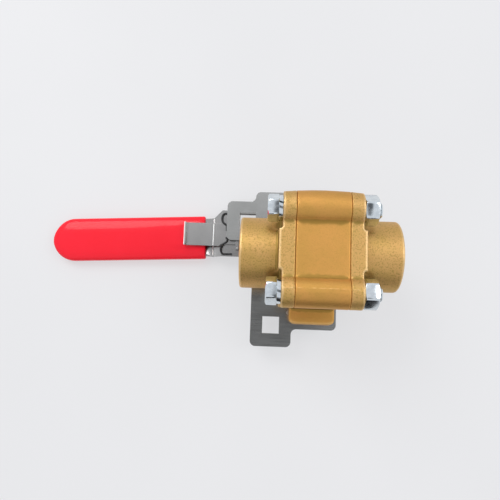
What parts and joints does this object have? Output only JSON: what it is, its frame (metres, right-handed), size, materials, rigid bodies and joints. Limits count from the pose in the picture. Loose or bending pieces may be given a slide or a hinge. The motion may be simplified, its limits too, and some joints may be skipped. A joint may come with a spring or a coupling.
{
  "type": "seacock ball valve",
  "caption": "Bolted three-piece bronze ball valve with socket ends, a red-gripped dog-leg lever, a lock plate and a sliding latch.",
  "frame": {"origin": "centre of the ball, on the waterway's axis", "axes": "+X along the waterway towards the right-hand end, +Z away from the stem and straight up as the valve lies on its lever and stem nut, +Y across the body"},
  "size_m": [0.2649, 0.1215, 0.0971],
  "materials": {
    "cast_body": "blasted casting, warm bronze",
    "cast_end": "blasted casting, paler bronze",
    "turned_brass": "turned",
    "seat_ring": "white seat plastic",
    "seal_rubber": "matt black",
    "polished_ball": "polished",
    "turned_steel": "turned stainless",
    "plate_steel": "rolled stainless sheet",
    "lever_steel": "rolled stainless sheet",
    "grip_vinyl": "glossy dipped vinyl",
    "black_wire": "black spring wire",
    "zinc_plate": "bright zinc plate"
  },
  "bodies": {
    "root": {"body": "cast_body", "end_cap_left": "cast_end", "end_cap_right": "cast_end", "seat_left": "seat_ring", "seat_right": "seat_ring", "body_seal_left": "seal_rubber", "body_seal_right": "seal_rubber", "stem_thrust_washer": "seat_ring", "stem_packing": "seat_ring", "packing_gland": "turned_brass", "gland_nut": "turned_brass", "lock_plate": "plate_steel", "plate_screws": "turned_steel", "keeper_pins": "turned_steel", "body_bolts": "zinc_plate", "body_lock_washers": "zinc_plate", "body_nuts": "zinc_plate"},
    "ball": {"ball": "polished_ball"},
    "lever": {"stem": "turned_steel", "stem_o_ring": "seal_rubber", "disc_springs": "turned_steel", "lever": "lever_steel", "grip": "grip_vinyl", "stop_pin": "turned_steel", "stem_lock_washer": "zinc_plate", "stem_nut": "zinc_plate", "latch_spring": "black_wire", "latch_guide": "lever_steel", "latch_rivets": "turned_steel"},
    "latch": {"latch_slide": "lever_steel"}
  },
  "joints": [
    {"name": "lever_turn", "type": "hinge", "parent": "root", "child": "lever", "pos_m": [0, 0, 0], "axis": [0, 0, 1], "range_deg": [0, 90]},
    {"name": "ball_turn", "type": "hinge", "parent": "root", "child": "ball", "pos_m": [0, 0, 0], "axis": [0, 0, 1], "range_deg": [0, 90]},
    {"name": "latch_travel", "type": "slide", "parent": "lever", "child": "latch", "axis": [1, 0, 0], "range_m": [0, 0.008]}
  ],
  "couplings": [
    {"joint": "ball_turn", "follows": "lever_turn", "ratio": 1}
  ]
}
